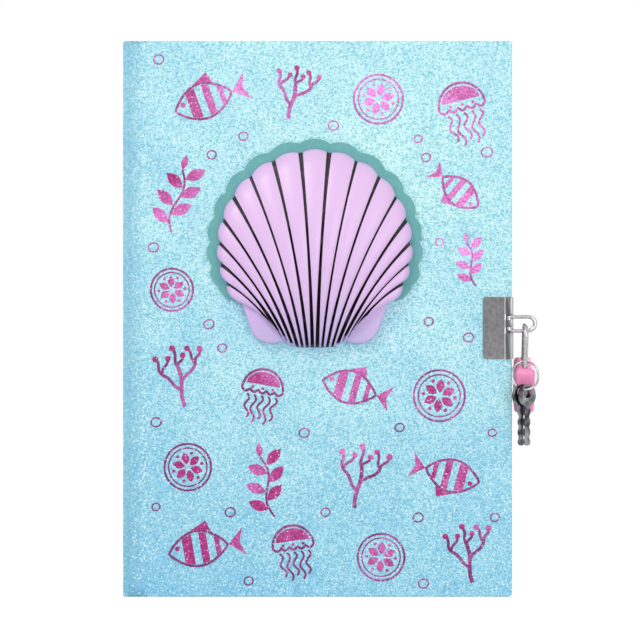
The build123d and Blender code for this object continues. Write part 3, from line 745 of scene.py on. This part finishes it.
def leaf_shape(start, end, fat, steps=10):
    """A pointed leaf from start to end."""
    across = (end[0] - start[0], end[1] - start[1])
    left, right = [], []
    for step in range(steps + 1):
        share = step / steps
        off = fat * math.sin(math.pi * share)
        middle = (start[0] + across[0] * share, start[1] + across[1] * share)
        left.append((middle[0] - across[1] * off, middle[1] + across[0] * off))
        right.append((middle[0] + across[1] * off, middle[1] - across[0] * off))
    return left + right[-2:0:-1]


class Motif:
    """Strokes and fills of one drawing, in millimetres about its own middle."""

    def __init__(self):
        self.strokes = []
        self.fills = []

    def stroke(self, line, width=OUTLINE, closed=False):
        """Adds a line of one width."""
        self.strokes.append((line, width, closed))

    def fill(self, outline):
        """Adds a filled outline."""
        self.fills.append(outline)


def fish():
    """A round fish with a forked tail, a fin and filled bands."""
    motif = Motif()
    half, tall, fullness, belly, inset, steps = 9.0, 5.6, 0.8, 0.9, 0.5, 24
    upper = [(half * (2.0 * step / steps - 1.0), tall * math.sin(math.pi * step / steps) ** fullness)
             for step in range(steps + 1)]
    motif.stroke(upper + [(x, -y * belly) for x, y in upper[-2:0:-1]], closed=True)
    for low, high in ((-4.6, -1.4), (0.6, 3.1), (5.2, 6.8)):
        band = [point for point in upper if low <= point[0] <= high]
        motif.fill([(x, -y * belly + inset) for x, y in band] + [(x, y - inset) for x, y in reversed(band)])
    tail = [(9.3, 0), (14.2, 4.4), (12.6, 0), (14.2, -4.2)]
    fin = [(-1.5, 5.9), (3.5, 8.2), (4.6, 4.9), (1.5, 5.6)]
    eye = circle(-6.2, 1.2, radius=0.8, steps=14)
    for outline in (tail, fin, eye):
        motif.fill(outline)
    return motif


def jelly():
    """A bell with a scalloped hem and swaying tentacles."""
    motif = Motif()
    wide, hem_y, lobes, lobe_depth, steps = 7.4, 1.0, 5, 1.1, 30
    hem = [(wide * (2.0 * step / steps - 1.0),
            hem_y - lobe_depth * abs(math.sin(math.pi * lobes * step / steps)))
           for step in range(1, steps)]
    motif.stroke(half_ring(hem_y, tall=7.6, wide=wide, steps=24) + hem, closed=True)
    motif.fill(half_ring(3.0, tall=4.6, wide=6.0, steps=20))
    spacing, root_y, end_y, longer, gather = 2.6, -0.9, -9.5, 1.6, 0.8
    for number in range(lobes):
        x = spacing * (number - lobes // 2)
        end = (x * gather, end_y - longer * (number % 2))
        motif.stroke(sway((x, root_y), end, swing=0.8, waves=1.5), THIN)
    for x in (-3.6, 0.0, 3.6):
        motif.fill(circle(x, 1.7, radius=0.55, steps=12))
    return motif


def coral():
    """A branching sprig with round tips. A branch is its start, its end and its width."""
    motif = Motif()
    limbs = [((0, -9), (0, 3), 1.5), ((0, -4), (-5.2, 1.6), 1.2), ((0, -2), (5.4, 3.4), 1.2)]
    twigs = [
        ((-5.2, 1.6), (-6.4, 6.6), 1.1), ((-5.2, 1.6), (-2.6, 6.2), 1.0), ((5.4, 3.4), (7.4, 7.4), 1.1),
        ((5.4, 3.4), (3.6, 8.2), 1.0), ((0, 3), (-0.8, 9), 1.1), ((0, 3), (2.0, 6.4), 1.0),
    ]
    tip_share = 0.85
    for start, end, width in limbs + twigs:
        motif.stroke(sway(start, end, swing=0.35, waves=1.0, steps=10), width)
    for _, end, width in twigs:
        motif.fill(circle(*end, radius=width * tip_share, steps=14))
    return motif


def kelp():
    """A swaying stem with leaves on both sides and one at the tip."""
    motif = Motif()
    steps, leaf_every, leaf_root, leaf_reach, leaf_rise = 28, 4, 0.3, 6.4, 4.2
    stem = sway((0, -11), (0, 10), swing=1.5, waves=1.0, steps=steps)
    motif.stroke(stem, THIN)
    for number, spot in enumerate(range(leaf_every, steps, leaf_every)):
        x, y = stem[spot]
        side = 1 if number % 2 else -1
        motif.fill(leaf_shape((x + leaf_root * side, y), (x + leaf_reach * side, y + leaf_rise), fat=0.25))
    motif.fill(leaf_shape(stem[-1], (0.6, 15.0), fat=0.22))
    return motif


def sand_disc():
    """A round disc with petals and a ring of dots between them."""
    motif = Motif()
    petals, petal_from, petal_to, first_turn, dot_ring = 6, 1.0, 5.6, 0.25, 5.2
    motif.stroke(circle(0, 0, radius=8.4), THIN, closed=True)
    motif.stroke(circle(0, 0, radius=6.9), FINE, closed=True)
    for number in range(petals):
        turn = math.tau * (number + first_turn) / petals
        way = (math.cos(turn), math.sin(turn))
        start, end = ([reach * part for part in way] for reach in (petal_from, petal_to))
        motif.fill(leaf_shape(start, end, fat=0.30))
        between = turn + math.tau / (2 * petals)
        motif.fill(circle(dot_ring * math.cos(between), dot_ring * math.sin(between), radius=0.6, steps=12))
    return motif


def bubble():
    """A small ring."""
    motif = Motif()
    motif.stroke(circle(0, 0, radius=1.7, across=1.9, steps=20), FINE, closed=True)
    return motif


def ribbon_outlines(line, width, closed):
    """The two sides of a stroke, joined at each point along the line between its neighbours."""
    count = len(line)
    left, right = [], []
    for index, (x, y) in enumerate(line):
        before = line[index - 1] if index or closed else line[index]
        after = line[(index + 1) % count] if index < count - 1 or closed else line[index]
        way = (after[0] - before[0], after[1] - before[1])
        length = math.hypot(*way)
        off = (-way[1] / length * width / 2, way[0] / length * width / 2)
        left.append((x + off[0], y + off[1]))
        right.append((x - off[0], y - off[1]))
    return left, right


class Print:
    """Collects the plates of a print on one face of the cover."""

    def __init__(self, surface, outward, facing):
        self.surface, self.outward, self.facing = surface, outward, facing
        self.points, self.faces, self.paint = [], [], []

    def add(self, outline, faces, rise, paint):
        """Adds a plate from an outline on the cover and its copy above, which the faces number on from it."""
        base = len(self.points)
        for depth in (self.surface, self.surface + self.outward * rise):
            self.points += [(x, -depth, z) for x, z in outline]
        self.faces += [[base + index for index in face] for face in faces]
        self.paint += [paint] * len(faces)

    def plate(self, outline, rise):
        """Adds a filled shape."""
        count = len(outline)
        faces = [list(range(count)), list(range(2 * count - 1, count - 1, -1))]
        for index in range(count):
            after = (index + 1) % count
            faces.append([index, count + index, count + after, after])
        self.add(outline, faces, rise, FILL_PAINT)

    def strip(self, left, right, closed, rise):
        """Adds a stroke from its two sides."""
        length = len(left)
        count = 2 * length
        faces = []
        for index in range(length if closed else length - 1):
            after = (index + 1) % length
            a, b, c, d = index, after, length + after, length + index
            faces += [[count + a, count + d, count + c, count + b], [a, b, c, d],
                      [a, count + a, count + b, b], [d, c, count + c, count + d]]
        if not closed:
            for end in (0, length - 1):
                faces.append([end, length + end, count + length + end, count + end])
        self.add(left + right, faces, rise, STROKE_PAINT)

    def draw(self, motif, x, z, scale, turn):
        """Places a motif with its middle at (x, z). Each plate is a little higher than the one before."""
        cos_turn, sin_turn = math.cos(math.radians(turn)), math.sin(math.radians(turn))

        def place(line):
            return [(x + self.facing * scale * (across * cos_turn - up * sin_turn),
                     z + scale * (across * sin_turn + up * cos_turn)) for across, up in line]

        rise = FOIL_RISE
        for line, width, closed in motif.strokes:
            left, right = ribbon_outlines(line, width / scale, closed)
            self.strip(place(left), place(right), closed, rise)
            rise += PLATE_STEP
        for outline in motif.fills:
            self.plate(place(outline), rise)
            rise += PLATE_STEP

    def finish(self, name, body):
        """Turns the plates into one piece, with every face outward."""
        piece = make_mesh(name, self.points, self.faces, [foil, foil_line], body, "glitter_sheet",
                          self.paint)
        solid = bmesh.new()
        solid.from_mesh(piece.data)
        bmesh.ops.recalc_face_normals(solid, faces=solid.faces)
        solid.to_mesh(piece.data)
        solid.free()


# Each motif with its middle (x, z), its scale and its turn in degrees
FRONT_MOTIFS = [
    (fish, -43, 187, 1.25, 20), (coral, -9, 190, 1.1, -12),
    (sand_disc, 23, 188, 1.1, 0), (jelly, 55, 184, 1.2, 14),
    (kelp, -53, 150, 1.15, -10), (fish, 54, 153, 0.95, 140),
    (sand_disc, -55, 116, 0.95, 20), (kelp, 58, 126, 0.8, 12),
    (coral, -52, 83, 1.25, 10), (jelly, -21, 77, 1.05, -10),
    (fish, 12, 79, 1.15, -16), (sand_disc, 46, 76, 1.15, 8),
    (sand_disc, -49, 49, 1.05, 30), (kelp, -19, 42, 1.1, 14),
    (coral, 16, 45, 1.3, -10), (fish, 51, 46, 1.15, 165),
    (fish, -45, 18, 1.25, 10), (jelly, -9, 18, 1.05, 8),
    (sand_disc, 24, 15, 1.05, 10), (coral, 57, 16, 1.2, 8),
]
BACK_MOTIFS = [
    (sand_disc, -40, 176, 1.2, 10), (fish, 20, 170, 1.1, -10),
    (kelp, 50, 120, 1.1, 8), (jelly, -10, 120, 1.3, 0),
    (coral, -48, 100, 1.2, 0), (fish, -20, 62, 1.2, 12),
    (sand_disc, 36, 58, 1.1, 0), (coral, 8, 22, 1.1, -6),
    (kelp, -50, 32, 1.0, -10), (jelly, 50, 20, 1.0, 12),
]
BUBBLE_TURN = 15.0
BUBBLES = [
    (-60, 203, 1.0), (-28, 174, 0.9), (6, 178, 1.0), (38, 173, 0.8), (64, 168, 1.1), (-40, 167, 0.9),
    (-62, 132, 1.0), (41, 166, 0.9), (46, 134, 0.8), (-41, 103, 1.0), (42, 104, 0.9), (57, 98, 1.0),
    (-36, 94, 0.9), (-5, 62, 1.0), (31, 64, 0.9), (-61, 66, 1.0), (66, 62, 0.8), (-33, 32, 1.0),
    (3, 32, 0.9), (38, 30, 1.0), (-61, 34, 0.8), (67, 30, 0.9), (-26, 6, 0.9), (40, 5, 1.0),
]
bubble_motifs = [(bubble, x, z, scale, BUBBLE_TURN) for x, z, scale in BUBBLES]
for name, body, sheet, motifs in (
    ("front_foil", "front_cover", Print(FRONT_OUT, outward=1, facing=1), FRONT_MOTIFS + bubble_motifs),
    ("back_foil", "case", Print(BACK_OUT, outward=-1, facing=-1), BACK_MOTIFS),
):
    for draw, x, z, scale, turn in motifs:
        sheet.draw(draw(), x, z, scale, turn)
    sheet.finish(name, body)


# CAD nodes that show as they are, with rounded edges where they are pressed or cut
FINISHES = (
    (paper, ("first_leaf",)),
    (endpaper, ("front_pastedown", "back_pastedown")),
    (lining_cloth, ("spine_lining", "head_band", "tail_band")),
    (teal, ("shell_card",)),
    (clip_nickel, ("front_clip", "back_clip")),
    (wire_nickel, ("front_loop", "back_loop", "shackle", "key_ring")),
    (key_nickel, ("key_1", "key_2")),
    (pink, ("padlock_jacket",)),
    (case_steel, ("padlock_case", "spring_catch")),
    (brass, ("key_plug",)),
)
PRESSED_EDGE, CARD_EDGE, CUT_EDGE_STEPS = 0.15, 0.25, 2
ROUNDED = {name: PRESSED_EDGE for name in ("front_clip", "back_clip", "key_1", "key_2", "key_plug")}
ROUNDED["shell_card"] = CARD_EDGE
WELD_REACH = 0.01
for material, names in FINISHES:
    for name in names:
        nodes[name].data.materials.clear()
        nodes[name].data.materials.append(material)
for name, width in ROUNDED.items():
    weld = nodes[name].modifiers.new("joined", "WELD")
    weld.merge_threshold = WELD_REACH * MM
    add_bevel(nodes[name], width, CUT_EDGE_STEPS)


# Stage, light and camera, in metres
WHITE = (1.0, 1.0, 1.0, 1.0)
FLOOR_HALF, FLOOR_GLOW, FLOOR_GLOW_SHARE = 3.0, 1.06, 0.9
WORLD_LIGHT, WORLD_SEEN = 0.62, 1.0
LAMP_AIM = (0.0, -0.02, 0.105)
CAMERA_X, CAMERA_Z, VIEW_DISTANCE = 0.00094, 0.1046, 1.2
SENSOR_WIDTH, LENS = 36.0, 178.7


def seen_rays(tree):
    """A socket that is 1 for what the camera sees, straight or by way of a shiny or clear thing."""
    rays = tree.nodes.new("ShaderNodeLightPath").outputs
    seen = rays["Is Camera Ray"]
    for kind in ("Is Glossy Ray", "Is Transmission Ray"):
        either = tree.nodes.new("ShaderNodeMath")
        either.operation = "MAXIMUM"
        tree.links.new(seen, either.inputs[0])
        tree.links.new(rays[kind], either.inputs[1])
        seen = either.outputs[0]
    return seen


def add_floor():
    """A white floor that takes a soft shadow and shows as white as the background."""
    shader = Shader("floor", (0.9, 0.9, 0.9), rough=0.9)
    glow = shader.node("ShaderNodeEmission", values={"Color": WHITE, "Strength": FLOOR_GLOW})
    share = shader.math("MULTIPLY", seen_rays(shader.tree), FLOOR_GLOW_SHARE)
    blended = shader.node("ShaderNodeMixShader", links={
        0: share, 1: shader.bsdf.outputs[0], 2: glow.outputs[0]})
    surface = shader.tree.nodes["Material Output"].inputs["Surface"]
    shader.tree.links.new(blended.outputs[0], surface)
    mesh = bpy.data.meshes.new("floor")
    corners = panel(-FLOOR_HALF, FLOOR_HALF, -FLOOR_HALF, FLOOR_HALF)
    mesh.from_pydata([(x, y, 0.0) for x, y in corners], [], [[0, 1, 2, 3]])
    mesh.materials.append(shader.material)
    floor = bpy.data.objects.new("floor", mesh)
    scene.collection.objects.link(floor)


def add_world():
    """A white world that lights more softly than it shows."""
    world = bpy.data.worlds.new("studio")
    scene.world = world
    world.use_nodes = True
    tree = world.node_tree
    sky = tree.nodes["Background"]
    sky.inputs["Color"].default_value = WHITE
    level = tree.nodes.new("ShaderNodeMapRange")
    level.inputs["To Min"].default_value = WORLD_LIGHT
    level.inputs["To Max"].default_value = WORLD_SEEN
    tree.links.new(seen_rays(tree), level.inputs["Value"])
    tree.links.new(level.outputs[0], sky.inputs["Strength"])


def add_lamp(name, place, size, power):
    """A square soft lamp aimed at the middle of the diary."""
    data = bpy.data.lights.new(name, "AREA")
    data.size = size
    data.energy = power
    lamp = bpy.data.objects.new(name, data)
    lamp.location = place
    lamp.rotation_euler = (Vector(LAMP_AIM) - Vector(place)).to_track_quat("-Z", "Y").to_euler()
    scene.collection.objects.link(lamp)


add_floor()
add_world()
add_lamp("key_lamp", (-0.55, -0.9, 0.85), size=0.5, power=4.0)
add_lamp("fill_lamp", (0.55, -1.1, 0.16), size=0.6, power=3.4)
add_lamp("back_lamp", (0.4, 1.1, 0.7), size=0.8, power=5.0)
camera_data = bpy.data.cameras.new("camera")
camera_data.sensor_width = SENSOR_WIDTH
camera_data.lens = LENS
camera = bpy.data.objects.new("camera", camera_data)
camera.location = (CAMERA_X, -FRONT_OUT * MM - VIEW_DISTANCE, CAMERA_Z)
camera.rotation_euler = (math.radians(90.0), 0.0, 0.0)
scene.collection.objects.link(camera)
scene.camera = camera
scene.view_settings.view_transform = "Standard"
